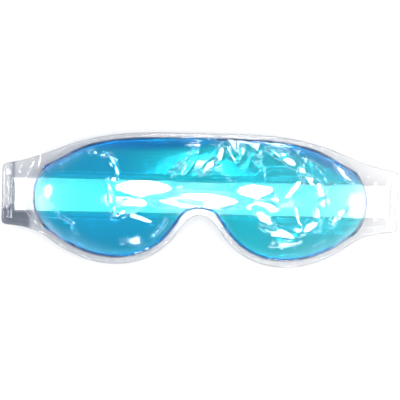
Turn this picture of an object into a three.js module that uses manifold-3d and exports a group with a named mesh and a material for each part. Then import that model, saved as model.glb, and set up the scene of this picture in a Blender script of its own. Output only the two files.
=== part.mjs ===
// A gel eye mask: two clear films welded round blue gel, with a two-piece strap that closes behind the head.
// It lies flat, front up, with the closed strap folded flat underneath it. Units are millimetres.
// X runs from one end of the mask to the other, Y from the cheeks to the forehead, and Z up through its
// thickness. The origin is on the surface the mask lies on, under the middle of the mask.
import * as THREE from 'three';
import { mergeVertices } from 'three/addons/utils/BufferGeometryUtils.js';
import Module from 'manifold-3d';

const wasm = await Module();
wasm.setup();

// Pouch
const HALF_LENGTH = 120;
const FILM = 0.4;            // thickness of each film
const WELD_Z = 5;            // height of the plane where the two films are welded
const SEAM_GAP = 0.04;       // clearance between pieces that touch
const FRONT_RISE = 6.6;      // gel above the weld plane, at the fullest place
const TOP_MARGIN = 3;        // welded margin along the forehead, square to the edge
const BOTTOM_MARGIN = 4;     // welded margin round the two eye lobes
const END_MARGIN = 3.5;      // how much wider the forehead margin grows towards the gel's ends
const END_MARGIN_START = 64; // and it starts to grow here
const GEL_END = 94;          // where the gel's rounded end starts to turn
const END_BULGE = 7;         // how far that end reaches past GEL_END at mid height
const END_ROUNDNESS = 2.2;   // 2 makes it a parabola, more makes it boxier
const TAB_START = 105.5;     // the tab is flat and straight from here outwards
const TAB_CORNER = 2.5;      // corner radius of the tab
const POCKET_START = 106.2;  // the films part from here to hold the strap's end
const POCKET_END = 112.6;
const WELD_RESUMES = 113.6;  // and are welded together again from here outwards
const POCKET_MARGIN = 2.5;   // from the strap's side to where the films start to close
const POCKET_RAMP = 2.5;     // and over this width they close
const CHANNEL_MARGIN = 5;    // from the strap's side to where the back film starts to sag
const CHANNEL_RAMP = 4.5;    // and over this width it sags to the surface
const STRAP_CLEARANCE = 0.35; // from the strap up to the back film
const ANCHOR_SPARE = 0.15;   // from the moving strap up to the fixed end that it hangs from

// Strap
const STRAP_WIDTH = 19;
const STRAP_Y = 0.8;         // centre line of the strap
const WEBBING = 1;           // thickness of the webbing
const SLIT_X = 107;          // slit in the back film that the strap comes out of
const SLIT_WIDTH = 1.6;
const SLIT_SPARE = 1;        // how much longer the slit is than the strap is wide
const ANCHOR_END_X = 112;    // cut end of the strap inside the tab
const LONG_STRAP = 205;
const SHORT_STRAP = 62;
const STRAP_CORNER = 1.5;

// Closure, from the surface upwards: long strap, hook patch, loop patch, short strap
const PATCH_WIDTH = 17;
const HOOK_LENGTH = 40;
const LOOP_LENGTH = 48;
const HOOK_BACKING = 0.4;
const HOOK_PILE = 0.4;
const LOOP_BACKING = 0.35;
const LOOP_PILE = 0.35;
const PATCH_INSET = 2;       // from the strap's free end to the patch
const SELVAGE = 1.8;         // plain border of a patch, where it is sewn on
const THREAD = 0.3;

const HOOK_Z = WEBBING + SEAM_GAP;
const HOOK_TOP = HOOK_Z + HOOK_BACKING + HOOK_PILE;
const LOOP_Z = HOOK_TOP + SEAM_GAP;
const LOOP_TOP = LOOP_Z + LOOP_BACKING + LOOP_PILE;
const SHORT_STRAP_Z = LOOP_TOP + SEAM_GAP;
const SHORT_STRAP_TOP = SHORT_STRAP_Z + WEBBING;
const CLOSURE_X = SLIT_X - SHORT_STRAP - 3; // from here outwards the straps lie double
const ANCHOR_HALF = WEBBING / 2 + SEAM_GAP;

// Outlines of the film from the middle of the mask to one end: the other half is its mirror image.
const FOREHEAD = heightCurve([
  [0, 40.1], [26, 39.9], [44, 39.1], [60, 36.8], [76, 32.8], [90, 27.5], [104, 22.5], [120, 18.9],
]);
const CHEEKS = heightCurve([
  [0, -9.8], [8, -13.5], [16, -24.3], [25, -32.4], [37, -38.2], [52, -40.17],
  [68, -37.7], [84, -30.6], [96, -22.6], [104, -19.6], [120, -17.3],
]);

const smoothstep = THREE.MathUtils.smoothstep;
const lerp = THREE.MathUtils.lerp;
const clamp = THREE.MathUtils.clamp;

function heightCurve(points) {
  const curve = new THREE.CubicInterpolant(points.map((p) => p[0]), points.map((p) => p[1]), 1);
  curve.settings = { endingStart: THREE.ZeroSlopeEnding, endingEnd: THREE.ZeroCurvatureEnding };
  return (x) => curve.evaluate(Math.abs(x))[0];
}

function slope(curve, x) {
  const step = 0.5;
  return (curve(x + step) - curve(x - step)) / (2 * step);
}

// The tab's corner: how far the outline draws in as it nears the end of the tab.
function cornerCut(x) {
  const past = Math.abs(x) - (HALF_LENGTH - TAB_CORNER);
  return past > 0 ? TAB_CORNER - Math.sqrt(Math.max(TAB_CORNER ** 2 - past ** 2, 0)) : 0;
}

const filmTop = (x) => FOREHEAD(x) - cornerCut(x);
const filmBottom = (x) => CHEEKS(x) + cornerCut(x);
const topMargin = (x) => TOP_MARGIN + END_MARGIN * smoothstep(Math.abs(x), END_MARGIN_START, GEL_END);
const gelTop = (x) => FOREHEAD(x) - topMargin(x) * Math.hypot(1, slope(FOREHEAD, x));
const gelBottom = (x) => CHEEKS(x) + BOTTOM_MARGIN * Math.hypot(1, slope(CHEEKS, x));

// The pouch's grid. Rows run from end to end, at these shares of the way from cheek to forehead: below 0 and
// above 1 lie the margins. Columns are straight, and bend outwards round the two ends of the gel.
const GEL_ROWS = 12;
const GEL_SHARES = Array.from({ length: GEL_ROWS + 1 }, (_, row) => {
  const even = row / GEL_ROWS;
  const denseAtEdges = (1 - Math.cos(Math.PI * even)) / 2;
  return (even + denseAtEdges) / 2;
});
const FILM_SHARES = [-1, -0.5, ...GEL_SHARES, 1.5, 2];
const HALF_COLUMNS = [
  5, 10, 15, 21, 29, 38, 48, 58, 68, 76, 83, 89, GEL_END,
  98, 101.5, TAB_START, POCKET_START, POCKET_END, WELD_RESUMES, 117.5, 118.8, 119.6, HALF_LENGTH,
];
const mirrored = (half) => [...half.map((x) => -x).reverse(), 0, ...half];
const FILM_COLUMNS = mirrored(HALF_COLUMNS);
const GEL_COLUMNS = mirrored(HALF_COLUMNS.filter((x) => x <= GEL_END));

function gridPoint(column, share) {
  const inside = clamp(share, 0, 1);
  let y = lerp(gelBottom(column), gelTop(column), inside);
  if (share < 0) {
    y = lerp(gelBottom(column), filmBottom(column), -share);
  } else if (share > 1) {
    y = lerp(gelTop(column), filmTop(column), share - 1);
  }
  const reach = Math.abs(column);
  const bend = smoothstep(reach, 66, GEL_END) * (1 - smoothstep(reach, GEL_END, TAB_START));
  const bulge = END_BULGE * bend * (1 - Math.abs(2 * inside - 1) ** END_ROUNDNESS);
  return { x: column + Math.sign(column) * bulge, y, column, share };
}

// How full the pouch is at a grid point: 0 at the weld and outside it, 1 where it is deepest.
function fullness({ column, share }) {
  const across = 1 - Math.abs(2 * clamp(share, 0, 1) - 1) ** 2.6;
  const along = 1 - clamp(Math.abs(column) / GEL_END, 0, 1) ** 9;
  return Math.sqrt(Math.max(across, 0) * Math.max(along, 0));
}

// The pocket round the strap's end in each tab: 1 where the films part to hold it, 0 where they meet.
function pocket({ x, y }) {
  const reach = Math.abs(x);
  const pastEdge = Math.abs(y - STRAP_Y) - STRAP_WIDTH / 2;
  const along = smoothstep(reach, TAB_START, POCKET_START) * (1 - smoothstep(reach, POCKET_END, WELD_RESUMES));
  const across = 1 - smoothstep(pastEdge, POCKET_MARGIN, POCKET_MARGIN + POCKET_RAMP);
  return along * across;
}

// Where the straps pass under the pouch its back is lifted clear of them, further where they overlap.
function channelHeight({ x, y }) {
  const overStraps = lerp(WEBBING, SHORT_STRAP_TOP, smoothstep(x, CLOSURE_X - 12, CLOSURE_X));
  const lift = overStraps + STRAP_CLEARANCE + FILM;
  const pastEdge = Math.abs(y - STRAP_Y) - STRAP_WIDTH / 2;
  return lift * (1 - smoothstep(pastEdge, CHANNEL_MARGIN, CHANNEL_MARGIN + CHANNEL_RAMP));
}

function frontInside(point) {
  const widest = gelTop(50) - gelBottom(50);
  const width = (gelTop(point.column) - gelBottom(point.column)) / widest;
  const dome = FRONT_RISE * lerp(0.7, 1, clamp(width, 0, 1)) * fullness(point);
  return WELD_Z + SEAM_GAP / 2 + dome + ANCHOR_HALF * pocket(point);
}

function backInside(point) {
  const floor = Math.max(FILM, channelHeight(point));
  const sag = Math.min(1, 1.5 * fullness(point));
  return lerp(WELD_Z - SEAM_GAP / 2, floor, sag) - ANCHOR_HALF * pocket(point);
}

// A closed solid over the grid, between two heights. With a sharp edge the two faces meet along the rim.
function gridSolid(columns, shares, lower, upper, sharpEdge) {
  const positions = [];
  const last = { i: columns.length - 1, j: shares.length - 1 };
  const onRim = (i, j) => i === 0 || j === 0 || i === last.i || j === last.j;
  const index = { lower: [], upper: [] };
  const addVertex = (x, y, z) => positions.push(x, y, z) / 3 - 1;
  columns.forEach((column, i) => {
    index.lower.push([]);
    index.upper.push([]);
    shares.forEach((share, j) => {
      const point = gridPoint(column, share);
      const joined = sharpEdge && onRim(i, j);
      const top = addVertex(point.x, point.y, joined ? WELD_Z : upper(point));
      index.upper[i].push(top);
      index.lower[i].push(joined ? top : addVertex(point.x, point.y, lower(point)));
    });
  });
  const faces = [];
  const quad = (a, b, c, d) => faces.push(a, b, c, a, c, d);
  const { lower: low, upper: up } = index;
  for (let i = 0; i < last.i; i += 1) {
    for (let j = 0; j < last.j; j += 1) {
      quad(up[i][j], up[i + 1][j], up[i + 1][j + 1], up[i][j + 1]);
      faces.push(low[i][j], low[i + 1][j + 1], low[i + 1][j], low[i][j], low[i][j + 1], low[i + 1][j + 1]);
    }
  }
  if (!sharpEdge) {
    for (let i = 0; i < last.i; i += 1) {
      quad(low[i][0], low[i + 1][0], up[i + 1][0], up[i][0]);
      quad(low[i + 1][last.j], low[i][last.j], up[i][last.j], up[i + 1][last.j]);
    }
    for (let j = 0; j < last.j; j += 1) {
      quad(low[0][j + 1], low[0][j], up[0][j], up[0][j + 1]);
      quad(low[last.i][j], low[last.i][j + 1], up[last.i][j + 1], up[last.i][j]);
    }
  }
  const geometry = new THREE.BufferGeometry();
  geometry.setAttribute('position', new THREE.Float32BufferAttribute(positions, 3));
  geometry.setIndex(faces);
  return geometry;
}

function toManifold(geometry) {
  const bare = new THREE.BufferGeometry();
  bare.setAttribute('position', geometry.getAttribute('position').clone());
  if (geometry.index) bare.setIndex(geometry.index.clone());
  const merged = mergeVertices(bare, 1e-5);
  return new wasm.Manifold(new wasm.Mesh({
    numProp: 3,
    vertProperties: new Float32Array(merged.getAttribute('position').array),
    triVerts: new Uint32Array(merged.index.array),
  }));
}

function toGeometry(manifold) {
  const { vertProperties, triVerts } = manifold.getMesh();
  const geometry = new THREE.BufferGeometry();
  geometry.setAttribute('position', new THREE.Float32BufferAttribute(vertProperties, 3));
  geometry.setIndex(Array.from(triVerts));
  return geometry;
}

// A flat strip of webbing or tape with rounded corners, lying between two heights.
function strip(fromX, toX, width, corner, z, thickness) {
  const [left, right] = [Math.min(fromX, toX), Math.max(fromX, toX)];
  const half = width / 2;
  const outline = new THREE.Shape();
  outline.moveTo(left + corner, -half);
  outline.lineTo(right - corner, -half);
  outline.absarc(right - corner, -half + corner, corner, -Math.PI / 2, 0);
  outline.absarc(right - corner, half - corner, corner, 0, Math.PI / 2);
  outline.lineTo(left + corner, half);
  outline.absarc(left + corner, half - corner, corner, Math.PI / 2, Math.PI);
  outline.absarc(left + corner, -half + corner, corner, Math.PI, 1.5 * Math.PI);
  const geometry = new THREE.ExtrudeGeometry(outline, { depth: thickness, bevelEnabled: false, curveSegments: 3 });
  return geometry.translate(0, STRAP_Y, z);
}

// A closure patch: a plain backing tape with its hooks or loops standing on it inside a bare selvage.
function patch(fromX, toX, backingZ, backing, pileZ, pile) {
  const bite = 0.02;
  const tape = toManifold(strip(fromX, toX, PATCH_WIDTH, 1, backingZ, backing));
  const inset = Math.sign(toX - fromX) * SELVAGE;
  const pileBase = pileZ > backingZ ? pileZ - bite : pileZ;
  const field = toManifold(
    strip(fromX + inset, toX - inset, PATCH_WIDTH - 2 * SELVAGE, 0.6, pileBase, pile + bite),
  );
  return toGeometry(tape.add(field));
}

// The line of thread that sews a patch down, lying on the selvage as one closed loop.
function stitchLoop(fromX, toX, z) {
  const inset = Math.sign(toX - fromX) * (SELVAGE / 2 - THREAD / 2);
  const wide = PATCH_WIDTH - SELVAGE + THREAD;
  const outer = toManifold(strip(fromX + inset, toX - inset, wide, 0.6, z, THREAD));
  const inner = toManifold(strip(
    fromX + inset + Math.sign(inset) * THREAD,
    toX - inset - Math.sign(inset) * THREAD,
    wide - 2 * THREAD,
    0.3,
    z - THREAD,
    3 * THREAD,
  ));
  return toGeometry(outer.subtract(inner));
}

// The strap's end: flat inside the tab, then turned down through the slit in the back film.
function anchor(side, bottomZ) {
  const inner = SLIT_X - WEBBING / 2;
  const top = WELD_Z + WEBBING / 2;
  const profile = new THREE.Shape();
  profile.moveTo(inner, bottomZ);
  profile.lineTo(inner + WEBBING, bottomZ);
  profile.lineTo(inner + WEBBING, top - WEBBING);
  profile.lineTo(ANCHOR_END_X, top - WEBBING);
  profile.lineTo(ANCHOR_END_X, top);
  profile.lineTo(inner + WEBBING * 0.4, top);
  profile.quadraticCurveTo(inner, top, inner, top - WEBBING * 0.4);
  const geometry = new THREE.ExtrudeGeometry(
    profile,
    { depth: STRAP_WIDTH, bevelEnabled: false, curveSegments: 3 },
  );
  geometry.rotateX(Math.PI / 2);
  geometry.translate(0, STRAP_Y + STRAP_WIDTH / 2, 0);
  if (side < 0) geometry.rotateZ(Math.PI).translate(0, 2 * STRAP_Y, 0);
  return geometry;
}

function frontFilm() {
  return gridSolid(FILM_COLUMNS, FILM_SHARES, frontInside, (point) => frontInside(point) + FILM, false);
}

function backFilm() {
  const sheet = gridSolid(FILM_COLUMNS, FILM_SHARES, (point) => backInside(point) - FILM, backInside, false);
  let film = toManifold(sheet);
  for (const side of [-1, 1]) {
    const slit = new THREE.BoxGeometry(SLIT_WIDTH, STRAP_WIDTH + SLIT_SPARE, 6 * FILM);
    slit.translate(side * SLIT_X, STRAP_Y, WELD_Z - WEBBING / 2 - FILM);
    film = film.subtract(toManifold(slit));
  }
  return toGeometry(film);
}

function gelFill() {
  return gridSolid(
    GEL_COLUMNS,
    GEL_SHARES,
    (point) => backInside(point) + SEAM_GAP,
    (point) => frontInside(point) - SEAM_GAP,
    true,
  );
}

const clearFilm = new THREE.MeshStandardMaterial({
  color: 0xe6edf0, roughness: 0.08, metalness: 0, transparent: true, opacity: 0.35,
});
const blueGel = new THREE.MeshStandardMaterial({ color: 0x1a9fd8, roughness: 0.15, metalness: 0 });
const whiteWebbing = new THREE.MeshStandardMaterial({ color: 0xf4f6f7, roughness: 0.85, metalness: 0 });
const hookTape = new THREE.MeshStandardMaterial({ color: 0xeef0f0, roughness: 0.55, metalness: 0 });
const loopTape = new THREE.MeshStandardMaterial({ color: 0xf2f2f0, roughness: 0.95, metalness: 0 });
const thread = new THREE.MeshStandardMaterial({ color: 0xfafafa, roughness: 0.7, metalness: 0 });

const mask = new THREE.Group();
const longFreeEnd = -SLIT_X + LONG_STRAP;
const shortFreeEnd = SLIT_X - SHORT_STRAP;
const hookSpan = [longFreeEnd - PATCH_INSET, longFreeEnd - PATCH_INSET - HOOK_LENGTH];
const loopSpan = [shortFreeEnd + PATCH_INSET, shortFreeEnd + PATCH_INSET + LOOP_LENGTH];

function add(name, geometry, material) {
  const mesh = new THREE.Mesh(geometry, material);
  mesh.name = name;
  mask.add(mesh);
}

add('front_film', frontFilm(), clearFilm);
add('back_film', backFilm(), clearFilm);
add('gel_fill', gelFill(), blueGel);
add('strap_anchor_left', anchor(-1, 2 * WEBBING + ANCHOR_SPARE), whiteWebbing);
add('strap_anchor_right', anchor(1, SHORT_STRAP_TOP + ANCHOR_SPARE), whiteWebbing);
add('long_strap', strip(-SLIT_X, longFreeEnd, STRAP_WIDTH, STRAP_CORNER, 0, WEBBING), whiteWebbing);
add('short_strap', strip(SLIT_X, shortFreeEnd, STRAP_WIDTH, STRAP_CORNER, SHORT_STRAP_Z, WEBBING), whiteWebbing);
add('hook_patch', patch(...hookSpan, HOOK_Z, HOOK_BACKING, HOOK_Z + HOOK_BACKING, HOOK_PILE), hookTape);
add('loop_patch', patch(...loopSpan, LOOP_Z + LOOP_PILE, LOOP_BACKING, LOOP_Z, LOOP_PILE), loopTape);
add('hook_patch_stitching', stitchLoop(...hookSpan, HOOK_Z + HOOK_BACKING + SEAM_GAP), thread);
add('loop_patch_stitching', stitchLoop(...loopSpan, LOOP_Z + LOOP_PILE - SEAM_GAP - THREAD), thread);

export default mask;
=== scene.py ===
"""A clear gel eye mask with a two-piece strap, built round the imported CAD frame. Units are metres."""
import math

import bpy
import numpy as np
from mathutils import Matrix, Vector


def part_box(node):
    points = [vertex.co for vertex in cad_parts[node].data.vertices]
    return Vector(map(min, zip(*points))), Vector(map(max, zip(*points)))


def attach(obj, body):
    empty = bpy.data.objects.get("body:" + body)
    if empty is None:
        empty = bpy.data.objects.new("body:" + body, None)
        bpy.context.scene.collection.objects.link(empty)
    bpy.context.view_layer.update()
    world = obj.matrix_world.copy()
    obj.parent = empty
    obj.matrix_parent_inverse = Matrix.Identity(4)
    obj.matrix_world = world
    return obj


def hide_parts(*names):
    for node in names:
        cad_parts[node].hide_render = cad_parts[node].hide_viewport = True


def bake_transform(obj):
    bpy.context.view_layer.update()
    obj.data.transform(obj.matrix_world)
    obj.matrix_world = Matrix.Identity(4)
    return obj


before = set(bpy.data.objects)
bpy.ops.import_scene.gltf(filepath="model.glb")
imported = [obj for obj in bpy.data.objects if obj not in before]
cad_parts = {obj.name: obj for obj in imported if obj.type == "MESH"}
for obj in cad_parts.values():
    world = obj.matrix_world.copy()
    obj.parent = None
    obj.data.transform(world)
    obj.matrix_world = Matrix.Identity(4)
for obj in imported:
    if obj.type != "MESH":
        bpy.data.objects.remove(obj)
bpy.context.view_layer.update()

MM = 0.001

# ---------------------------------------------------------------- sizes, read from the frame
front_low, front_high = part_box("front_film")
back_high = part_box("back_film")[1]
gel_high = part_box("gel_fill")[1]
anchor_low, anchor_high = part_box("strap_anchor_right")
long_low, long_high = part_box("long_strap")
short_low, short_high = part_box("short_strap")
hook_low, hook_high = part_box("hook_patch")
loop_low, loop_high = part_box("loop_patch")

WELD_Z = (front_low.z + back_high.z) / 2  # the plane where the two films are welded
FILM = 0.35 * MM
HALF_LENGTH = front_high.x
GEL_END = 94 * MM  # the gel's rounded end starts to turn here
END_BULGE = gel_high.x - GEL_END
END_ROUNDNESS = 2.2
BEND_START = 66 * MM  # the grid's columns start to bend here
TAB_START = 105.5 * MM  # and are straight again from here outwards
STRAP_Y = (long_low.y + long_high.y) / 2
STRAP_HALF = (long_high.y - long_low.y) / 2
WEBBING = long_high.z - long_low.z
POCKET_IN = anchor_low.x  # the strap's end lies between the films from here
POCKET_OUT = anchor_high.x  # to here
SLIT_X = -long_low.x  # the strap leaves through a slit in the back film here


# ---------------------------------------------------------------- small tools
def smooth(low, high, value):
    """0 below low, 1 above high and an S-curve between."""
    t = np.clip((value - low) / (high - low), 0, 1)
    return t * t * (3 - 2 * t)


def bead(distance, place, width):
    """A bell-shaped rise at a place."""
    return np.exp(-(((distance - place) / width) ** 2))


def cubic(knots, values, at):
    """Values at the places at, on a smooth curve through the values at the knots, along the first axis."""
    values = np.asarray(values, float)
    slopes = np.gradient(values, knots, axis=0)
    i = np.clip(np.searchsorted(knots, at) - 1, 0, len(knots) - 2)
    gap = knots[i + 1] - knots[i]
    t = (at - knots[i]) / gap
    shape = (len(at),) + (1,) * (values.ndim - 1)
    t, gap = t.reshape(shape), gap.reshape(shape)
    start = (2 * t**3 - 3 * t**2 + 1) * values[i] + (t**3 - 2 * t**2 + t) * gap * slopes[i]
    end = (3 * t**2 - 2 * t**3) * values[i + 1] + (t**3 - t**2) * gap * slopes[i + 1]
    return start + end


def new_object(name, vertices, faces, material, shade_smooth=True):
    """A mesh object with one material."""
    mesh = bpy.data.meshes.new(name)
    mesh.from_pydata(np.asarray(vertices, float).tolist(), [], faces)
    mesh.validate()
    mesh.update()
    piece = bpy.data.objects.new(name, mesh)
    bpy.context.scene.collection.objects.link(piece)
    mesh.materials.append(material)
    if shade_smooth:
        mesh.polygons.foreach_set("use_smooth", [True] * len(mesh.polygons))
    return piece


def add_values(piece, name, values):
    """A named number for each vertex, for the materials to read."""
    attribute = piece.data.attributes.new(name, "FLOAT", "POINT")
    attribute.data.foreach_set("value", values.astype(np.float32))


def sheet_faces(ids, flip=False):
    """Quads over a grid of vertex numbers."""
    a, b, c, d = ids[:-1, :-1], ids[1:, :-1], ids[1:, 1:], ids[:-1, 1:]
    quads = np.stack([a, d, c, b] if flip else [a, b, c, d], -1).reshape(-1, 4)
    return [tuple(dict.fromkeys(q)) for q in quads.tolist()]


def rim_faces(top, bottom):
    """The wall that joins the edges of two grids of vertex numbers."""
    faces = []
    for upper, lower in (
        (top[:, 0], bottom[:, 0]),
        (top[-1, :], bottom[-1, :]),
        (top[::-1, -1], bottom[::-1, -1]),
        (top[0, ::-1], bottom[0, ::-1]),
    ):
        for k in range(len(upper) - 1):
            faces.append((int(lower[k]), int(lower[k + 1]), int(upper[k + 1]), int(upper[k])))
    return faces


def grid_normals(points):
    """Unit normals of a grid of points, pointing up where the grid lies flat."""
    n = np.cross(np.gradient(points, axis=0), np.gradient(points, axis=1))
    return n / np.maximum(np.linalg.norm(n, axis=2, keepdims=True), 1e-12)


# ---------------------------------------------------------------- camera, lights and floor
VIEW_WIDTH = 242.4 * MM
CAMERA_LENS = 100  # both in the camera's own millimetres
CAMERA_SENSOR = 36
CAMERA_TURN = math.radians(1.31)
AIM_Y = -0.45 * MM
CAMERA_HEIGHT = VIEW_WIDTH * CAMERA_LENS / CAMERA_SENSOR
LAMP = 40.0  # radiance of the studio lamps
CEILING_LAMP = 9
FILL_LAMP = 1.5


def make_camera():
    """Looks straight down, turned a little."""
    data = bpy.data.cameras.new("camera")
    data.lens = CAMERA_LENS
    data.sensor_width = CAMERA_SENSOR
    camera = bpy.data.objects.new("camera", data)
    bpy.context.scene.collection.objects.link(camera)
    camera.location = (0, AIM_Y, WELD_Z + CAMERA_HEIGHT)
    camera.rotation_euler = (0, 0, CAMERA_TURN)
    data.clip_start, data.clip_end = 0.01, 20
    bpy.context.scene.camera = camera


def softbox(name, place, target, width, height, radiance):
    """A flat oval lamp of the given radiance, facing the target."""
    data = bpy.data.lights.new(name, "AREA")
    data.shape = "ELLIPSE"
    data.size, data.size_y = width, height
    data.energy = radiance * math.pi * (math.pi / 4 * width * height)
    lamp = bpy.data.objects.new(name, data)
    bpy.context.scene.collection.objects.link(lamp)
    lamp.location = place
    lamp.rotation_euler = (Vector(target) - Vector(place)).to_track_quat("-Z", "Y").to_euler()


def make_world():
    """A white studio that is dark overhead."""
    world = bpy.data.worlds.new("studio")
    world.use_nodes = True
    tree = world.node_tree
    place = tree.nodes.new("ShaderNodeTexCoord")
    split = tree.nodes.new("ShaderNodeSeparateXYZ")
    ramp = tree.nodes.new("ShaderNodeValToRGB")
    ramp.color_ramp.elements[0].position = 0.42
    ramp.color_ramp.elements[0].color = (1, 1, 1, 1)
    ramp.color_ramp.elements[1].position = 0.8
    ramp.color_ramp.elements[1].color = (0.07, 0.075, 0.08, 1)
    background = tree.nodes["Background"]
    background.inputs["Strength"].default_value = 4.0
    tree.links.new(place.outputs["Generated"], split.inputs[0])
    tree.links.new(split.outputs["Z"], ramp.inputs["Fac"])
    tree.links.new(ramp.outputs["Color"], background.inputs["Color"])
    bpy.context.scene.world = world


# Where the lamps stand whose images show in the film.
OVERHEAD = (0, 0.03, 1.1)
LEFT = (-0.72, 0.1, 0.95)
RIGHT = (0.74, 0.0, 0.9)
TOP = (0.12, 0.7, 0.95)
LOW = (0.12, -0.62, 0.95)


def make_light():
    """Small bright lamps for the glints, a dimmer wide one above and a soft one low on the right."""
    middle = (0, 0, 0)
    softbox("overhead", OVERHEAD, middle, 0.2, 0.07, LAMP)
    softbox("ceiling", (0, 0, 1.3), middle, 0.45, 0.14, CEILING_LAMP)
    softbox("left_box", LEFT, middle, 0.22, 0.14, LAMP)
    softbox("right_box", RIGHT, middle, 0.3, 0.18, LAMP)
    softbox("top_box", TOP, middle, 0.17, 0.08, LAMP)
    softbox("right_fill", (0.5, 0, 0.35), (0.08, 0, 0), 0.3, 0.3, FILL_LAMP)
    softbox("low_box", LOW, middle, 0.16, 0.1, LAMP)


def make_floor():
    """A plain pale floor, which isn't part of the mask."""
    reach = 3.0
    corners = [(-reach, -reach, 0), (reach, -reach, 0), (reach, reach, 0), (-reach, reach, 0)]
    material = bpy.data.materials.new("floor")
    material.use_nodes = True
    shader = material.node_tree.nodes["Principled BSDF"]
    shader.inputs["Base Color"].default_value = (0.48, 0.48, 0.48, 1)
    shader.inputs["Roughness"].default_value = 0.9
    shader.inputs["Specular IOR Level"].default_value = 0.1
    floor = new_object("floor", corners, [(0, 1, 2, 3)], material, shade_smooth=False)


def set_rendering():
    """Plain colours, and enough bounces for light to pass through the films, the gel and back."""
    scene = bpy.context.scene
    scene.view_settings.view_transform = "Standard"
    scene.cycles.sample_clamp_indirect = 40
    scene.cycles.max_bounces = 20
    scene.cycles.diffuse_bounces = 4
    scene.cycles.glossy_bounces = 6
    scene.cycles.transmission_bounces = 16
    scene.cycles.transparent_max_bounces = 32


# ---------------------------------------------------------------- materials
class Nodes:
    """A material's nodes, by short names."""

    def __init__(self, name):
        self.material = bpy.data.materials.new(name)
        self.material.use_nodes = True
        self.tree = self.material.node_tree
        self.tree.nodes.clear()
        self.out = self.tree.nodes.new("ShaderNodeOutputMaterial")

    def feed(self, socket, value):
        """Links a node's output to the socket, or sets a constant on it."""
        if hasattr(value, "is_output"):
            self.tree.links.new(value, socket)
        else:
            socket.default_value = value

    def add(self, kind, **inputs):
        """A shader node, with its inputs by name, in which _ stands for a space."""
        node = self.tree.nodes.new("ShaderNode" + kind)
        for key, value in inputs.items():
            self.feed(node.inputs[key.replace("_", " ")], value)
        return node

    def math(self, operation, a, b=0.0):
        """The result of an operation on two numbers."""
        node = self.tree.nodes.new("ShaderNodeMath")
        node.operation = operation
        self.feed(node.inputs[0], a)
        self.feed(node.inputs[1], b)
        return node.outputs[0]

    def blend(self, share, first, second):
        """Two surfaces mixed: share is how much of the second one is seen."""
        node = self.add("MixShader")
        self.feed(node.inputs[0], share)
        self.feed(node.inputs[1], first.outputs[0])
        self.feed(node.inputs[2], second.outputs[0])
        return node

    def by_value(self, name, *colours):
        """Colours blended by one of the piece's own values, from 0 to 1 at even steps."""
        value = self.add("Attribute")
        value.attribute_name = name
        ramp = self.add("ValToRGB", Fac=value.outputs["Fac"])
        elements = ramp.color_ramp.elements
        elements[0].color = colours[0] + (1,)
        elements[1].color = colours[-1] + (1,)
        for k in range(1, len(colours) - 1):
            elements.new(k / (len(colours) - 1)).color = colours[k] + (1,)
        return ramp.outputs["Color"]

    def product(self, a, b):
        """Two colours multiplied."""
        node = self.tree.nodes.new("ShaderNodeVectorMath")
        node.operation = "MULTIPLY"
        self.tree.links.new(a, node.inputs[0])
        self.tree.links.new(b, node.inputs[1])
        return node.outputs[0]

    def finish(self, surface, volume=None):
        """Joins the material to its output."""
        self.tree.links.new(surface, self.out.inputs["Surface"])
        if volume is not None:
            self.tree.links.new(volume, self.out.inputs["Volume"])
        return self.material


MIST = 0.015  # how much of the light the misted end of the front film scatters


def clear_film(name, tint, shaded_tint, haze):
    """Soft clear PVC: seen straight through, a little hazy, with a sharp gloss that grows at grazing angles.

    Each vertex's painted shade value takes it from its tint to its darker second tint, and its "misted"
    values add haze.
    """
    n = Nodes(name)
    shade = n.by_value("painted_shade", tint, shaded_tint)
    ripple = n.add("TexNoise", Scale=420.0, Detail=2.0)
    bump = n.add("Bump", Strength=0.05, Distance=0.0003, Height=ripple.outputs["Fac"])
    fresnel = n.add("Fresnel", IOR=1.45, Normal=bump.outputs["Normal"])
    geometry = n.add("NewGeometry")
    outside = n.math("SUBTRACT", 1.0, geometry.outputs["Backfacing"])
    mirror = n.math("MULTIPLY", fresnel.outputs[0], outside)
    clear = n.add("BsdfTransparent", Color=shade)
    milk = n.add("BsdfPrincipled", Base_Color=(0.8, 0.82, 0.84, 1), Roughness=0.4)
    gloss = n.add(
        "BsdfPrincipled",
        Base_Color=(1, 1, 1, 1),
        Metallic=1.0,
        Roughness=0.02,
        Normal=bump.outputs["Normal"],
    )
    misted = n.add("Attribute")
    misted.attribute_name = "misted"
    veil = n.math("ADD", n.math("MULTIPLY", misted.outputs["Fac"], MIST), haze)
    body = n.blend(veil, clear, milk)
    return n.finish(n.blend(mirror, body, gloss).outputs[0])


def blue_gel():
    """Clear gel, blue by its depth: bluer by the forehead and at its ends, dark round its rim as painted
    shade, darker away from the strap as painted shadow and paler on the right as painted light.
    """
    n = Nodes("blue_gel")
    blue_band_tint = n.by_value("blue_band", (1, 1, 1), (0.12, 0.54, 0.86))
    # Painted light and shadow: untinted over the strap, darker away from it, less so on the right.
    depth = n.by_value("painted_light_and_shade", (0.03, 0.65, 0.92), (0.05, 0.96, 1), (1, 1, 1))
    rim = n.by_value("rim", (1, 1, 1), (0.08, 0.14, 0.25))
    tint = n.product(n.product(blue_band_tint, depth), rim)
    surface = n.add(
        "BsdfPrincipled",
        Base_Color=tint,
        Specular_IOR_Level=0.0,
        Roughness=0.0,
        IOR=1.34,
        Transmission_Weight=1.0,
    )
    volume = n.add("VolumeAbsorption", Color=(0.02, 0.93, 0.998, 1), Density=136.0)
    return n.finish(surface.outputs[0], volume.outputs[0])


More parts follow.
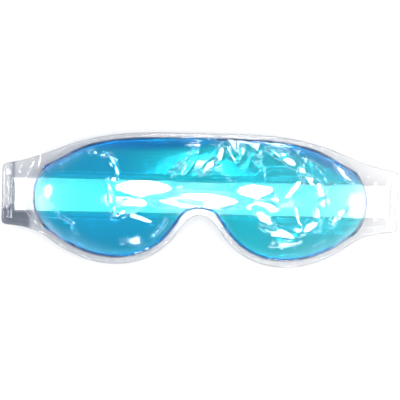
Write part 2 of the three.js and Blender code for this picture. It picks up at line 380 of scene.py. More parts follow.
def white_cloth(name, colour, weave_scale, roughness):
    """A pale textile with a weave and a fine fuzz."""
    n = Nodes(name)
    place = n.add("TexCoord")
    weave = n.add("TexWave", Vector=place.outputs["Object"], Scale=weave_scale, Distortion=0.4, Detail=1.0)
    fuzz = n.add("TexNoise", Vector=place.outputs["Object"], Scale=3500.0, Detail=4.0)
    height = n.math("ADD", weave.outputs["Fac"], fuzz.outputs["Fac"])
    bump = n.add("Bump", Strength=0.35, Distance=0.0001, Height=height)
    shade = n.add("ValToRGB", Fac=fuzz.outputs["Fac"])
    shade.color_ramp.elements[0].color = tuple(c * 0.9 for c in colour) + (1,)
    shade.color_ramp.elements[1].color = tuple(colour) + (1,)
    surface = n.add(
        "BsdfPrincipled",
        Base_Color=shade.outputs["Color"],
        Roughness=roughness,
        Sheen_Weight=0.3,
        Sheen_Roughness=0.4,
        Normal=bump.outputs["Normal"],
    )
    return n.finish(surface.outputs[0])


# ---------------------------------------------------------------- the pouch's grid
def straight_columns(node, least):
    """The x, lowest y and highest y of each column of at least so many points of a CAD solid."""
    points = np.array([v.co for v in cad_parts[node].data.vertices])
    if node == "gel_fill":
        # Only its outline on the weld plane, and not its rounded ends.
        points = points[np.abs(points[:, 2] - WELD_Z) < 0.01 * MM]
        points = points[np.abs(points[:, 0]) < GEL_END + 0.05 * MM]
    points = np.unique(np.round(points, 5), axis=0)
    rows = []
    for x in np.unique(points[:, 0]):
        column = points[points[:, 0] == x]
        if len(column) >= least:
            rows.append((x, column[:, 1].min(), column[:, 1].max()))
    return np.array(rows)


FILM_EDGE = straight_columns("front_film", 12)
GEL_EDGE = straight_columns("gel_fill", 2)


def gel_span(columns):
    """The lowest and highest y of the gel and of the film in each column."""
    inside = np.clip(columns, -GEL_END, GEL_END)
    low = cubic(GEL_EDGE[:, 0], GEL_EDGE[:, 1], inside)
    high = cubic(GEL_EDGE[:, 0], GEL_EDGE[:, 2], inside)
    film_low = cubic(FILM_EDGE[:, 0], FILM_EDGE[:, 1], columns)
    film_high = cubic(FILM_EDGE[:, 0], FILM_EDGE[:, 2], columns)
    end_low = cubic(FILM_EDGE[:, 0], FILM_EDGE[:, 1], inside)
    end_high = cubic(FILM_EDGE[:, 0], FILM_EDGE[:, 2], inside)
    return film_low + (low - end_low), film_high - (end_high - high), film_low, film_high


def grid_points(columns, shares):
    """x and y of the pouch's grid. Shares run from 0 to 1 across the gel, to -1 and 2 across the margins."""
    low, high, film_low, film_high = (a[:, None] for a in gel_span(columns))
    share = shares[None, :]
    inside = np.clip(share, 0, 1)
    y = low + (high - low) * inside
    y = y + (film_low - low) * np.clip(-share, 0, 1) + (film_high - high) * np.clip(share - 1, 0, 1)
    reach = np.abs(columns)[:, None]
    bend = smooth(BEND_START, GEL_END, reach) * (1 - smooth(GEL_END, TAB_START, reach))
    bulge = END_BULGE * bend * (1 - np.abs(2 * inside - 1) ** END_ROUNDNESS)
    return columns[:, None] + np.sign(columns)[:, None] * bulge, y


BRIDGE_DIP = 0.4  # how much lower the pouch is over the nose, as a share
BRIDGE_WIDTH = 36 * MM
CLOTH_FRAMES = 30  # by then the pouch has come to rest
COARSE_GRID = 95, 37  # columns and rows of the cloth over the gel
FINE_GRID = 251, 97  # and of the finished films there
START_FILL = 3 * MM  # how far each film stands off the weld before it is blown up
FRONT_CALM = 200  # smoothing passes
BACK_CALM = 60
BACK_FULLNESS = 6  # how quickly the back reaches its flat underside from the weld
TAB_STEP = 0.5 * MM  # between the grid's columns in the tabs
LINE_HEIGHT = 0.32 * MM  # of the weld lines and wrinkles in the margins
MARGIN_SHARES = [0.07, 0.14, 0.21, 0.3, 0.42, 0.54, 0.66, 0.76, 0.83, 0.9, 0.95, 1]  # rows over the margin


def blow_up(columns, shares):
    """Two films joined round the gel's edge and inflated, as cloth under pressure. Returns both as grids."""
    x, y = grid_points(columns, shares)
    across = 1 - np.abs(2 * shares[None, :] - 1) ** 2.6
    along = 1 - np.abs(columns[:, None] / GEL_END) ** 9
    dome = np.sqrt(across * along)
    start = START_FILL * dome
    scale = 10.0  # the cloth solver works best on larger things
    top = np.arange(x.size).reshape(x.shape)
    inner = np.zeros(x.shape, bool)
    inner[1:-1, 1:-1] = True
    bottom = top.copy()
    bottom[inner] = x.size + np.arange(inner.sum())
    front = np.stack([x, y, WELD_Z + start], -1)
    back = np.stack([x, y, WELD_Z - start], -1)
    vertices = np.concatenate([front.reshape(-1, 3), back[inner]]) * scale
    faces = sheet_faces(top) + sheet_faces(bottom, flip=True)
    pouch = new_object("pouch_cloth", vertices, faces, bpy.data.materials.new("pouch_cloth"))
    pins = pouch.vertex_groups.new(name="weld")
    pins.add(top[~inner].tolist(), 1.0, "REPLACE")
    cloth = pouch.modifiers.new("cloth", "CLOTH")
    settings = cloth.settings
    settings.quality = 6
    settings.mass = 0.2
    settings.tension_stiffness = settings.compression_stiffness = 30
    settings.shear_stiffness = 10
    settings.bending_stiffness = 4
    settings.tension_damping = settings.compression_damping = settings.shear_damping = 5
    settings.bending_damping = 0.5
    settings.air_damping = 2
    settings.vertex_group_mass = "weld"
    settings.use_pressure = True
    settings.uniform_pressure_force = 3
    settings.shrink_min = -0.015
    settings.effector_weights.gravity = 0
    cloth.collision_settings.use_collision = False
    cloth.point_cache.frame_start = 1
    cloth.point_cache.frame_end = CLOTH_FRAMES + 1
    for number in range(1, CLOTH_FRAMES + 1):
        bpy.context.scene.frame_set(number)
    shown = pouch.evaluated_get(bpy.context.evaluated_depsgraph_get())
    points = np.array([v.co for v in shown.data.vertices]) / scale
    bpy.data.objects.remove(pouch)
    bpy.context.scene.frame_set(1)
    return points[top], points[bottom]


def finer(grid, columns, shares, fine_columns, fine_shares):
    """The same surface on a finer grid."""
    along = cubic(columns, grid, fine_columns)
    return cubic(shares, along.transpose(1, 0, 2), fine_shares).transpose(1, 0, 2)


# ---------------------------------------------------------------- folds and creases in the front film
# The lists are in millimetres.
# A crease is a route of a few points, a width and a height: above 0 it is a ridge, below 0 a valley.
CREASES = [
    ([(-88, -8), (-81, -13), (-76, -17), (-71, -22)], 1.0, 0.5),
    ([(-27, -22), (-23, -18), (-20, -13)], 0.9, 0.4),
    ([(-93, 23), (-95, 17), (-94, 11)], 0.9, 0.4),
    ([(-3, 30), (-10, 23), (-17, 16)], 0.9, 0.45),
    ([(-1, 29), (-6, 20), (-11, 13)], 0.9, 0.4),
    ([(21, 31), (25, 21), (29, 26), (33, 32)], 0.9, 0.5),
    ([(37, 33), (35, 24), (38, 15)], 0.9, 0.45),
    ([(37, 33), (46, 28), (51, 20)], 1.0, 0.5),
    ([(64, 25), (71, 21), (75, 13), (80, 10)], 0.8, 0.4),
    ([(68, -27), (72, -24), (76, -22)], 0.7, 0.3),
    ([(-35, -29), (-34, -25), (-32, -29)], 0.7, 0.3),
    ([(-15, 1), (-6, -1.6), (4, -3)], 0.9, -0.3),
]

# A fold is a chain of small flat facets, each tilted so that it mirrors one of the lamps:
# a route, the facets' half width and the lamp.
FOLDS = [
    ([(-54, 24), (-50, 15), (-54, 7), (-53, -4), (-48, -10), (-42, -7)], 1.6, LEFT),
    ([(-41, -9), (-36, -12), (-31, -13)], 2.2, LOW),
    ([(-66, 27), (-61, 26), (-57, 25)], 1.2, TOP),
    ([(3, 18), (9, 24), (14, 31)], 2.2, TOP),
    ([(16, 32), (21, 23)], 1.4, LEFT),
    ([(23, 24), (26, 32)], 1.3, RIGHT),
    ([(29, 31), (34, 22)], 1.2, LEFT),
    ([(37, 33), (36, 24), (39, 15)], 1.1, RIGHT),
    ([(45, 29), (53, 25), (60, 18), (68, 12), (73, 5), (73, -5), (69, -14)], 2.3, RIGHT),
    ([(68, -14), (60, -18), (53, -20)], 2.6, LOW),
    ([(54, -20), (46, -18), (40, -12), (37, -6)], 3.0, LOW),
    ([(-86, -10), (-80, -15), (-73, -22)], 0.9, LEFT),
    ([(-28, -23), (-20, -13)], 0.9, LEFT),
    ([(-93, 22), (-95, 12)], 1.0, LEFT),
    ([(-17, 17), (-9, 24), (-3, 31)], 1.0, LEFT),
    ([(62, 26), (71, 20), (79, 11)], 1.0, TOP),
    ([(59, 10), (52, 3)], 2.2, RIGHT),
    ([(58, -6), (60, -14)], 1.6, RIGHT),
    ([(86, -6), (79, -13)], 1.6, RIGHT),
    ([(84, 20), (90, 13)], 1.6, TOP),
]

# Flat spots on the crowns, under the overhead lamp: centre, half length, half width.
CROWNS = [
    ((-1, -1.2), 25, 5.2),
    ((-38, -3), 7, 3.5),
    ((36, -4), 9, 3.5),
    ((-33.6, 6.2), 17, 5.2),
    ((32, 5.6), 10, 4.6),
]


CREASE_FADE = 0.15  # share of a crease's length over which it fades out
FACET_STEP = 3.4  # from facet to facet, in half widths
FACET_LENGTH = 2.6  # half length of a facet, in half widths
FACET_LENGTH_CHANGE = 0.8  # and how much it changes from facet to facet
FACET_TURN = 0.5  # the most that a facet turns from its route, in radians


def mirror_slope(x, y, lamp):
    """The slopes in x and y of a surface at (x, y) that shows the lamp to somebody looking down at it."""
    at = np.stack(np.broadcast_arrays(x, y, WELD_Z), -1)
    to_eye = np.array([0, 0, WELD_Z + CAMERA_HEIGHT]) - at
    to_lamp = np.array(lamp) - at
    normal = to_eye / np.linalg.norm(to_eye, axis=-1, keepdims=True)
    normal += to_lamp / np.linalg.norm(to_lamp, axis=-1, keepdims=True)
    return -normal[..., :2] / normal[..., 2:]


def crease_line(route, count):
    """A smooth line of so many points through a route in millimetres."""
    return cubic(np.linspace(0, 1, len(route)), np.array(route, float) * MM, np.linspace(0, 1, count))


def crease_height(x, y):
    """How far the creases lift the front film. They fade out at both ends."""
    total = np.zeros_like(x)
    for route, width, height in CREASES:
        line = crease_line(route, 40)
        reach = np.hypot(x[..., None] - line[:, 0], y[..., None] - line[:, 1])
        along = reach.argmin(-1) / (len(line) - 1)
        fade = smooth(0, CREASE_FADE, along) * (1 - smooth(1 - CREASE_FADE, 1, along))
        total += height * MM * bead(reach.min(-1), 0, width * MM) * fade
    return total


def flatten(height, x, y, centre, turn, half_length, half_width, lamp):
    """Lays an oval of the film flat, so that it mirrors the lamp."""
    dx, dy = x - centre[0], y - centre[1]
    along = dx * math.cos(turn) + dy * math.sin(turn)
    across = dy * math.cos(turn) - dx * math.sin(turn)
    slope = mirror_slope(*centre, lamp)
    level = height.ravel()[np.hypot(dx, dy).argmin()]
    plane = level + slope[0] * dx + slope[1] * dy
    keep = smooth(0.95, 1.4, np.hypot(along / half_length, across / half_width))  # 1 outside the oval
    return plane * (1 - keep) + height * keep


def press_folds(height, x, y):
    """Lays the flat spots and the folds into the front film's height."""
    for (cx, cy), half_length, half_width in CROWNS:
        centre = (cx * MM, cy * MM)
        height = flatten(height, x, y, centre, 0, half_length * MM, half_width * MM, OVERHEAD)
    for route, half_width, lamp in FOLDS:
        half_width *= MM
        line = crease_line(route, 200)
        length = np.hypot(*np.diff(line, axis=0).T).sum()
        count = max(1, round(length / (FACET_STEP * half_width)))
        for k in range(count):
            i = int((k + 0.5) / count * (len(line) - 1))
            dx, dy = line[i + 1] - line[i - 1]
            turn = math.atan2(dy, dx) + FACET_TURN * math.sin(2.4 * k)
            half_length = half_width * (FACET_LENGTH + FACET_LENGTH_CHANGE * math.cos(1.9 * k))
            height = flatten(height, x, y, line[i], turn, half_length, half_width, lamp)
    return height


def past_strap(y):
    """How far y lies outside the strap's long edges, and below 0 between them."""
    return np.abs(y - STRAP_Y) - STRAP_HALF


def channel_height(x, y):
    """The least height of the back film: the taut strap presses a channel into the gel."""
    one, both = long_high.z, short_high.z
    extra = (both - one) * smooth(short_low.x - 14 * MM, short_low.x - 2 * MM, x)
    spare = 0.3 * MM
    edge = 0.5 * MM  # the channel is this much wider than the strap on each side
    ramp = 3.2 * MM + 2.4 * extra  # its sides slope over this width
    return (one + extra + spare) * (1 - smooth(edge, edge + ramp, past_strap(y)))


def calm(height, passes):
    """The heights of a grid with their small wrinkles smoothed away, and its border left alone."""
    height = height.copy()
    for _ in range(passes):
        around = height[:-2, 1:-1] + height[2:, 1:-1] + height[1:-1, :-2] + height[1:-1, 2:]
        height[1:-1, 1:-1] = height[1:-1, 1:-1] / 2 + around / 8
    return height


def shape_front(front, shares):
    """Gives the inflated front its height, lower at the bridge, then its folds and creases."""
    dome = calm(front[..., 2], FRONT_CALM) - WELD_Z
    rise = (front_high.z - FILM - WELD_Z) / dome.max()
    dome *= 1 - BRIDGE_DIP * bead(front[..., 0], 0, BRIDGE_WIDTH)
    from_weld = 1 - np.abs(2 * shares[None, :] - 1) ** 6
    x, y = front[..., 0], front[..., 1]
    front[..., 2] = press_folds(WELD_Z + dome * rise, x, y) + crease_height(x, y) * from_weld


def shape_back(back):
    """Flattens the inflated back where the mask lies on it and over the strap's channel."""
    least = channel_height(back[..., 0], back[..., 1]) + FILM + 0.02 * MM
    depth = (WELD_Z - calm(back[..., 2], BACK_CALM)) * BACK_FULLNESS
    gap = np.maximum(WELD_Z - least, 0.2 * MM)
    back[..., 2] = WELD_Z - gap * np.tanh(np.maximum(depth, 0) / gap)


def pouch_surfaces():
    """The inner faces of the two films, as grids, and which part of a grid lies on the gel."""
    coarse, fine = (
        (np.linspace(-GEL_END, GEL_END, columns), np.linspace(0, 1, rows))
        for columns, rows in (COARSE_GRID, FINE_GRID)
    )
    front, back = (finer(grid, *coarse, *fine) for grid in blow_up(*coarse))
    shape_front(front, fine[1])
    shape_back(back)
    corner = 2.5 * MM  # the tab's corners are round, so the columns lie closer there
    tab = np.concatenate([
        np.arange(GEL_END + TAB_STEP, HALF_LENGTH - corner - 0.1 * MM, TAB_STEP),
        HALF_LENGTH - corner * (1 - np.sin(np.linspace(0, math.pi / 2, 9))),
    ])
    margin = np.array(MARGIN_SHARES)
    x, y = grid_points(
        np.concatenate([-tab[::-1], fine[0], tab]),
        np.concatenate([-margin[::-1], fine[1], 1 + margin]),
    )
    whole = np.stack([x, y, np.full_like(x, WELD_Z)], -1)
    inside = slice(len(tab), len(tab) + len(fine[0])), slice(len(margin), len(margin) + len(fine[1]))
    sheets = []
    for sheet, side in ((front, 1), (back, -1)):
        full = whole.copy()
        full[inside] = sheet
        full[..., 2] += side * pocket_height(full[..., 0], full[..., 1])
        sheets.append(full)
    return sheets, inside


def pocket_height(x, y):
    """How far each film stands off the weld plane over the strap's end in the tabs."""
    reach = np.abs(x)
    along = smooth(POCKET_IN - 1.0 * MM, POCKET_IN + 0.2 * MM, reach)
    along = along * (1 - smooth(POCKET_OUT + 0.3 * MM, POCKET_OUT + 1.8 * MM, reach))
    return (WEBBING / 2 + 0.05 * MM) * along * (1 - smooth(0.6 * MM, 3.2 * MM, past_strap(y)))


def border(grid):
    """The outline of a grid, as points in x and y at even steps."""
    loop = np.concatenate([grid[:, 0], grid[-1, :], grid[::-1, -1], grid[0, ::-1]])[:, :2]
    lengths = np.r_[0, np.cumsum(np.hypot(*np.diff(loop, axis=0).T))]
    at = np.arange(0, lengths[-1], 0.4 * MM)
    return np.stack([np.interp(at, lengths, loop[:, k]) for k in range(2)], 1)


def distance_to(line, x, y):
    """How far each place is from the nearest point of a line."""
    return np.hypot(x[..., None] - line[:, 0], y[..., None] - line[:, 1]).min(-1)


# Wrinkles in the left tab, round the strap's end, in millimetres.
TAB_WRINKLES = [
    [(-102, 21), (-103.5, 17), (-106, 12.5)],
    [(-98, 24), (-98.5, 19), (-100.5, 15)],
    [(-115, 19), (-114, 15.5), (-115, 12)],
    [(-109, 18.5), (-110.5, 16), (-110, 12.5)],
    [(-105, -9.8), (-103.5, -12.5), (-102, -15)],
    [(-103, -9.8), (-101, -13), (-99.5, -17)],
]


def tab_lines(x, y):
    """Raised weld lines in the tabs, two along the end and one along each side, and the wrinkles there."""
    # The sines make the lines a little wavy.
    reach = np.abs(x) + 0.25 * MM * np.sin(y * 900)
    high = np.abs(y - STRAP_Y) + 0.3 * MM * np.sin(x * 1100)
    side_line = 15.5 * MM
    end_lines = (3.7 * MM, 5.3 * MM)
    end = 0.8 * sum(bead(HALF_LENGTH - reach, place, 0.6 * MM) for place in end_lines)
    end = end * (1 - smooth(side_line, side_line + 0.6 * MM, high))
    span = smooth(101 * MM, 104 * MM, reach) * (1 - smooth(-3.6 * MM, -3.0 * MM, reach - HALF_LENGTH))
    wrinkles = np.zeros_like(x)
    for route in TAB_WRINKLES:
        wrinkles += 0.6 * bead(distance_to(crease_line(route, 30), x, y), 0, 0.7 * MM)
    return end + bead(high, side_line, 0.45 * MM) * span + wrinkles


def film_painted_shade(x, y):
    """Painted shade on the clear film, from 0 to 1: more towards the left end, below its strap end and in a
    band just past the strap's end.
    """
    painted_shade = 0.2 * (1 - smooth(-90 * MM, 110 * MM, x))
    below_strap = 1 - smooth(-9 * MM, -5 * MM, y)
    painted_shade += 0.75 * (1 - smooth(-105 * MM, -101 * MM, x)) * below_strap
    painted_shade += 0.6 * bead(x, -113.6 * MM, 1.2 * MM)  # a band just past the strap's end
    beside_strap = smooth(0, 2 * MM, past_strap(y))
    beyond_strap = smooth(POCKET_OUT, POCKET_OUT + MM, np.abs(x))
    return painted_shade * (0.1 + 0.9 * np.maximum(beside_strap, beyond_strap))


def shell(name, inner, outward, materials, inside):
    """A film of even thickness on the outer side of a grid. outward is 1 for the front and -1 for the back.

    The materials are for the film over the gel, for the margins, and for the cut edge and the weld's inner
    edge.
    """
    x, y = inner[..., 0], inner[..., 1]
    over_gel = np.zeros(x.shape, bool)
    over_gel[inside] = True
    from_edge = distance_to(border(inner), x, y)
    from_gel = np.where(over_gel, 0, distance_to(border(inner[inside]), x, y))
    lines = bead(from_edge, 0.5 * MM, 0.3 * MM) + 0.7 * bead(from_gel, 1.1 * MM, 0.4 * MM) + tab_lines(x, y)
    raised = LINE_HEIGHT * np.clip(lines, 0, 1) * ~over_gel
    outer = inner + grid_normals(inner) * outward * FILM + np.array([0, 0, outward]) * raised[..., None]
    weld_side = inner.copy()
    weld_side[..., 2] += outward * 0.004 * MM  # so that the two films don't share one plane
    vertices = np.concatenate([outer.reshape(-1, 3), weld_side.reshape(-1, 3)])
    ids_outer = np.arange(x.size).reshape(x.shape)
    ids_inner = ids_outer + x.size
    top, bottom = (ids_outer, ids_inner) if outward > 0 else (ids_inner, ids_outer)
    walls = rim_faces(top, bottom)
    faces = sheet_faces(top) + sheet_faces(bottom, flip=True) + walls
    piece = new_object(name, vertices, faces, materials[0])
    for material in materials[1:]:
        piece.data.materials.append(material)
    in_margin = ~(over_gel[:-1, :-1] & over_gel[1:, 1:])
    cut = (from_edge[:-1, :-1] + from_edge[1:, 1:]) / 2 < 0.45 * MM
    weld = in_margin & ((from_gel[:-1, :-1] + from_gel[1:, 1:]) / 2 < 0.5 * MM)
    zone = np.where(cut | weld, 2, np.where(in_margin, 1, 0)).reshape(-1)
    index = np.concatenate([zone, zone, np.full(len(walls), 2)])
    piece.data.polygons.foreach_set("material_index", index.astype(np.int32))
    add_values(piece, "painted_shade", film_painted_shade(vertices[:, 0], vertices[:, 1]))
    misted = smooth(10 * MM, 90 * MM, x) * over_gel * (outward > 0)
    add_values(piece, "misted", np.tile(misted.ravel(), 2))
    return piece


def make_films(grids, inside, materials):
    """The two films of the pouch."""
    for name, grid, outward, node in zip(
        ("front_film_skin", "back_film_skin"), grids, (1, -1), ("front_film", "back_film")
    ):
        piece = shell(name, grid, outward, materials, inside)
        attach(piece, "mask")
        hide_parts(node)


def tint_gel(piece, top, vertices):
    """Gives the gel the values that its colour goes by. The first vertices are those of its top."""
    x, y = vertices[:, 0], vertices[:, 1]
    beside = smooth(0, 2 * MM, past_strap(y))
    top_edge = cubic(GEL_EDGE[:, 0], GEL_EDGE[:, 2], np.clip(x, -GEL_END, GEL_END))
    from_top = (top_edge - y) + 2 * MM * np.sin(x * 60)
    from_end = (gel_high.x - np.abs(x)) * 1.2
    # The blue band runs along the forehead and down the left end.
    blue_band = 1 - smooth(2 * MM, 8 * MM, np.minimum(from_top, from_end + 6 * MM * (x > 0)))
    add_values(piece, "blue_band", blue_band * beside)
    # Painted shade: the gel is darkened round its rim, at its steep edge.
    from_rim = distance_to(border(top), x, y)
    add_values(piece, "rim", (1 - smooth(0.8 * MM, 2.2 * MM, from_rim)) * (0.2 + 0.8 * beside))
    # Painted light and shadow: the gel is palest over the strap, darker away from it as painted shadow under
    # the pouch, and paler on the right than on the left as painted light from that side.
    painted_right_light = 0.5 * smooth(-55 * MM, -15 * MM, x + 1.5 * np.minimum(y, 0))
    painted_light_and_shade = np.maximum(1 - smooth(0, 1.5 * MM, past_strap(y)), painted_right_light)
    painted_light_and_shade[:top[..., 0].size] = 1
    add_values(piece, "painted_light_and_shade", painted_light_and_shade)


def make_gel(grids, inside, material):
    """The gel fills the space between the films, with a little clearance."""
    clearance = 0.03 * MM
    top, bottom = (grid[inside].copy() for grid in grids)
    top -= grid_normals(top) * clearance
    bottom += grid_normals(bottom) * clearance
    rim = np.ones(top.shape[:2], bool)
    rim[1:-1, 1:-1] = False
    top[rim, 2] = WELD_Z
    ids_top = np.arange(rim.size).reshape(rim.shape)
    ids_bottom = ids_top.copy()
    ids_bottom[~rim] = rim.size + np.arange((~rim).sum())
    vertices = np.concatenate([top.reshape(-1, 3), bottom[~rim]])
    faces = sheet_faces(ids_top) + sheet_faces(ids_bottom, flip=True)
    piece = new_object("gel", vertices, faces, material)
    tint_gel(piece, top, vertices)
    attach(piece, "mask")
    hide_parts("gel_fill")


# ---------------------------------------------------------------- straps
def strap_route(side, run_z, free_x):
    """The middle line of a webbing, from its tab's pocket down through the slit and along under the pouch."""
    turn = 0.8 * MM  # radius of the bend into the slit
    points = [(POCKET_OUT, WELD_Z), (SLIT_X + turn, WELD_Z)]
    for angle in np.radians([30, 60, 90]):
        points.append((SLIT_X + turn - turn * math.sin(angle), WELD_Z - turn + turn * math.cos(angle)))
    # The bend under the slit is as wide as there is height for.
    low = max(min(turn, WELD_Z - turn - run_z), 0.3 * MM)
    for angle in np.radians([0, 30, 60, 90]):
        points.append((SLIT_X - low + low * math.cos(angle), run_z + low - low * math.sin(angle)))
    points.append((free_x, run_z))
    line = np.array(points)
    line[:, 0] *= side
    keep = np.r_[True, np.linalg.norm(np.diff(line, axis=0), axis=1) > 0.02 * MM]
    return line[keep]


def even_steps(line, step):
    """Points along a polyline at even steps, with its corners kept where they are close together."""
    lengths = np.r_[0, np.cumsum(np.linalg.norm(np.diff(line, axis=0), axis=1))]
    at = np.unique(np.r_[np.arange(0, lengths[-1], step), lengths])
    at = at[np.r_[True, np.diff(at) > 0.05 * MM]]
    return np.stack([np.interp(at, lengths, line[:, k]) for k in range(2)], 1), at


def webbing(name, line, material):
    """A flat woven strap along a line in x and z, with ribs across it and a rounded selvage."""
    rib = 0.9 * MM  # from rib to rib along the strap
    cord = 1.9 * MM  # from cord to cord across it
    route, along = even_steps(line, rib / 2)
    tangent = np.gradient(route, axis=0)
    tangent /= np.linalg.norm(tangent, axis=1, keepdims=True)
    normal = np.stack([-tangent[:, 1], tangent[:, 0]], 1)
    normal *= np.sign(normal[-1, 1])
    across = np.linspace(-1, 1, 41)
    offset = across * STRAP_HALF
    stagger = math.pi * np.round(offset[None, :] / (cord / 2))
    weave = np.cos(2 * math.pi * along[:, None] / rib + stagger)
    cords = np.abs(np.sin(math.pi * offset[None, :] / cord))
    body = (WEBBING / 2 - 0.1 * MM) * (1 - np.abs(across[None, :]) ** 14) ** 0.5
    thick = body + (0.05 * MM * weave + 0.06 * MM * cords) * (1 - np.abs(across[None, :]) ** 8)
    from_end = np.minimum(along, along[-1] - along)
    thick *= np.minimum(1, np.sqrt(from_end[:, None] / (0.8 * MM)) + 0.6)
    sides = []
    for up in (1, -1):
        spread = route[:, None, :] + up * thick[..., None] * normal[:, None, :]
        y = np.broadcast_to(STRAP_Y + offset[None, :], spread.shape[:2])
        sides.append(np.stack([spread[..., 0], y, spread[..., 1]], -1))
    top, bottom = sides
    ids_top = np.arange(top[..., 0].size).reshape(top.shape[:2])
    ids_bottom = ids_top + top[..., 0].size
    vertices = np.concatenate([top.reshape(-1, 3), bottom.reshape(-1, 3)])
    flip = line[-1, 0] < line[0, 0]
    faces = sheet_faces(ids_top, flip) + sheet_faces(ids_bottom, not flip)
    walls = rim_faces(ids_top, ids_bottom)
    faces += [f[::-1] for f in walls] if flip else walls
    return new_object(name, vertices, faces, material)


def make_straps(cloth):
    """Both webbings. The end of each stays in its tab."""
    left_z = (long_low.z + long_high.z) / 2
    right_z = (short_low.z + short_high.z) / 2
    left = webbing("long_webbing", strap_route(-1, left_z, -long_high.x), cloth)
    right = webbing("short_webbing", strap_route(1, right_z, short_low.x), cloth)
    for piece, body, x, blend_low, nodes in (
        (left, "long_strap", -SLIT_X, long_high.z + 0.2 * MM, ("strap_anchor_left", "long_strap")),
        (right, "short_strap", SLIT_X, short_high.z - 0.1 * MM, ("strap_anchor_right", "short_strap")),
    ):
        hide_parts(*nodes)
        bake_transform(piece)


# ---------------------------------------------------------------- hook-and-loop closure
def slab(name, low, high, material):
    """A thin tape with rounded edges between two corners."""
    steps = 33
    u = np.sin(np.linspace(-math.pi / 2, math.pi / 2, steps))
    centre, half = (low + high) / 2, (high - low) / 2
    across, along = np.meshgrid(u, u)
    edge = (1 - np.abs(across) ** 30) * (1 - np.abs(along) ** 60)
    thick = half.z * (0.25 + 0.75 * np.sqrt(np.maximum(edge, 0)))
    x, y = centre.x + half.x * along, centre.y + half.y * across
    sides = [np.stack([x, y, centre.z + up * thick], -1) for up in (1, -1)]
    ids_top = np.arange(steps**2).reshape(steps, steps)
    ids_bottom = ids_top + ids_top.size
    vertices = np.concatenate([side.reshape(-1, 3) for side in sides])
    faces = sheet_faces(ids_top) + sheet_faces(ids_bottom, flip=True) + rim_faces(ids_top, ids_bottom)
    return new_object(name, vertices, faces, material)


def filaments(name, paths, radius, material, sides=5):
    """Thin round strands along many short paths of points, as one piece."""
    vertices, faces = [], []
    for path in paths:
        tangent = np.gradient(path, axis=0)
        tangent /= np.linalg.norm(tangent, axis=1, keepdims=True)
        flat = np.cross(tangent, path[-1] - path[0]).sum(0)  # square to the plane that the path lies in
        if not np.linalg.norm(flat) > 0:
            flat = np.array([0, 1.0, 0])
        flat /= np.linalg.norm(flat)
        third = np.cross(tangent, flat)
        first = len(vertices)
        for point, side in zip(path, third):
            for k in range(sides):
                angle = 2 * math.pi * k / sides
                vertices.append(point + radius * (math.cos(angle) * flat + math.sin(angle) * side))
        for ring in range(len(path) - 1):
            for k in range(sides):
                a, b = first + ring * sides + k, first + ring * sides + (k + 1) % sides
                faces.append((a, b, b + sides, a + sides))
        last = first + (len(path) - 1) * sides
        faces.append(tuple(first + k for k in range(sides))[::-1])
        faces.append(tuple(last + k for k in range(sides)))
    return new_object(name, vertices, faces, material)


def arch(x, y, z, span, height, turn, sweep, steps):
    """Part of an upright oval, from its left foot over the top, sweep degrees round."""
    angle = np.radians(np.linspace(180, 180 - sweep, steps))
    across = span / 2 * np.cos(angle)
    rise = height * np.sin(angle)
    return np.stack([x + across * math.cos(turn), y + across * math.sin(turn), z + rise], 1)


def rows_within(low, high, pitch, inset):
    """Evenly spaced places on a rectangle, each as its x, its y and the numbers of its column and row."""
    xs = np.arange(low.x + inset, high.x - inset + 0.01 * MM, pitch)
    ys = np.arange(low.y + inset, high.y - inset + 0.01 * MM, pitch)
    return [(x, y, i, j) for i, x in enumerate(xs) for j, y in enumerate(ys)]


def stitches(name, low, high, material, up):
    """Lock stitches round a rectangle: short thread arches end to end, level with the tape's face."""
    thread = 0.13 * MM  # its radius
    length = 2.2 * MM
    height = high.z - low.z - 2 * thread + 0.02 * MM
    foot = low.z + thread if up > 0 else high.z - thread
    corners = [(low.x, low.y), (high.x, low.y), (high.x, high.y), (low.x, high.y), (low.x, low.y)]
    paths = []
    for (x0, y0), (x1, y1) in zip(corners, corners[1:]):
        count = round(math.hypot(x1 - x0, y1 - y0) / length)
        turn = math.atan2(y1 - y0, x1 - x0)
        for k in range(count):
            share = (k + 0.5) / count
            x, y = x0 + (x1 - x0) * share, y0 + (y1 - y0) * share
            path = arch(x, y, 0, length * 0.86, height, turn, 180, 7)
            path[:, 2] = foot + up * path[:, 2]
            paths.append(path)
    return filaments(name, paths, thread, material)


def make_hooks(backing, material):
    """A field of hooks on the tape, in rows that lean to either side in turn."""
    strand = 0.085 * MM  # radius of a hook's wire
    height = hook_high.z - backing - strand
    hooks = []
    for x, y, _, row in rows_within(hook_low, hook_high, 1.15 * MM, 1.9 * MM):
        turn = 0 if row % 2 else math.pi
        hook = arch(x, y, backing - 0.02 * MM, 0.62 * MM, height, turn, 215, 8)
        hook[-1, 2] = max(hook[-1, 2], backing + 0.1 * MM)  # the hook's tip stays clear of the tape
        hooks.append(hook)
    return filaments("hook_tape_hooks", hooks, strand, material)


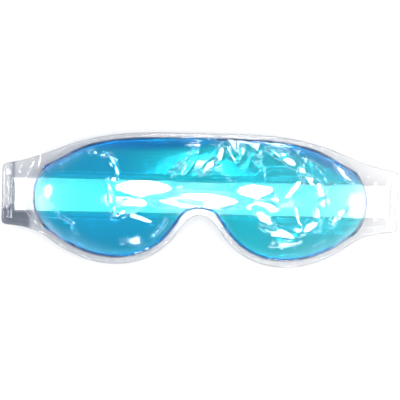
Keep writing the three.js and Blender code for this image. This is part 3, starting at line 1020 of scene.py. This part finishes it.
def make_loops(backing, material):
    """A pile of loops hanging from the tape, turned every way."""
    strand = 0.05 * MM
    height = backing - loop_low.z - strand
    loops = []
    for x, y, column, row in rows_within(loop_low, loop_high, 0.95 * MM, 1.2 * MM):
        turn = 2.4 * (column * 7 + row * 3)
        loop = arch(x + 0.2 * MM * math.sin(turn), y, 0, 0.8 * MM, height, turn, 180, 7)
        loop[:, 2] = backing + 0.02 * MM - loop[:, 2]
        loops.append(loop)
    return filaments("loop_tape_pile", loops, strand, material)


def make_closure(hook_material, loop_material, thread_material):
    """The two tapes, with the stitches that hold them on the straps."""
    hook_corner = Vector((hook_high.x, hook_high.y, hook_low.z + 0.4 * MM))
    loop_corner = Vector((loop_low.x, loop_low.y, loop_high.z - 0.35 * MM))
    hook_tape = slab("hook_tape_backing", hook_low, hook_corner, hook_material)
    hooks = make_hooks(hook_corner.z, hook_material)
    loop_tape = slab("loop_tape_backing", loop_corner, loop_high, loop_material)
    loops = make_loops(loop_corner.z, loop_material)
    hook_thread = stitches("hook_stitches", *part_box("hook_patch_stitching"), thread_material, 1)
    loop_thread = stitches("loop_stitches", *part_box("loop_patch_stitching"), thread_material, -1)
    for piece, body, node, slot in (
        (hook_tape, "long_strap", "hook_patch", "hook_tape"),
        (hooks, "long_strap", "hook_patch", "hook_tape"),
        (hook_thread, "long_strap", "hook_patch_stitching", "thread"),
        (loop_tape, "short_strap", "loop_patch", "loop_tape"),
        (loops, "short_strap", "loop_patch", "loop_tape"),
        (loop_thread, "short_strap", "loop_patch_stitching", "thread"),
    ):
        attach(piece, body)
        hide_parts(node)


make_camera()
make_world()
make_light()
make_floor()
set_rendering()
# Each film's second tint is the colour that its painted shade goes to.
film_materials = [
    clear_film("film_over_gel", (0.99, 0.99, 0.992), (0.985, 0.985, 0.99), 0.0),
    clear_film("film_margin", (0.985, 0.983, 0.985), (0.7, 0.72, 0.76), 0.01),
    # Painted shade: the cut edges and weld edges get a darker tint for the dark lines that refraction draws
    # there.
    clear_film("film_edge", (0.82, 0.81, 0.82), (0.6, 0.6, 0.62), 0.05),
]
gel_material = blue_gel()
webbing_material = white_cloth("webbing", (0.93, 0.94, 0.95), 900.0, 0.8)
pouch_grids, gel_part = pouch_surfaces()
make_films(pouch_grids, gel_part, film_materials)
make_gel(pouch_grids, gel_part, gel_material)
make_straps(webbing_material)
make_closure(
    white_cloth("hook_tape", (0.9, 0.91, 0.92), 1400.0, 0.35),
    white_cloth("loop_tape", (0.93, 0.93, 0.93), 700.0, 0.95),
    white_cloth("thread", (0.95, 0.95, 0.94), 4000.0, 0.6),
)
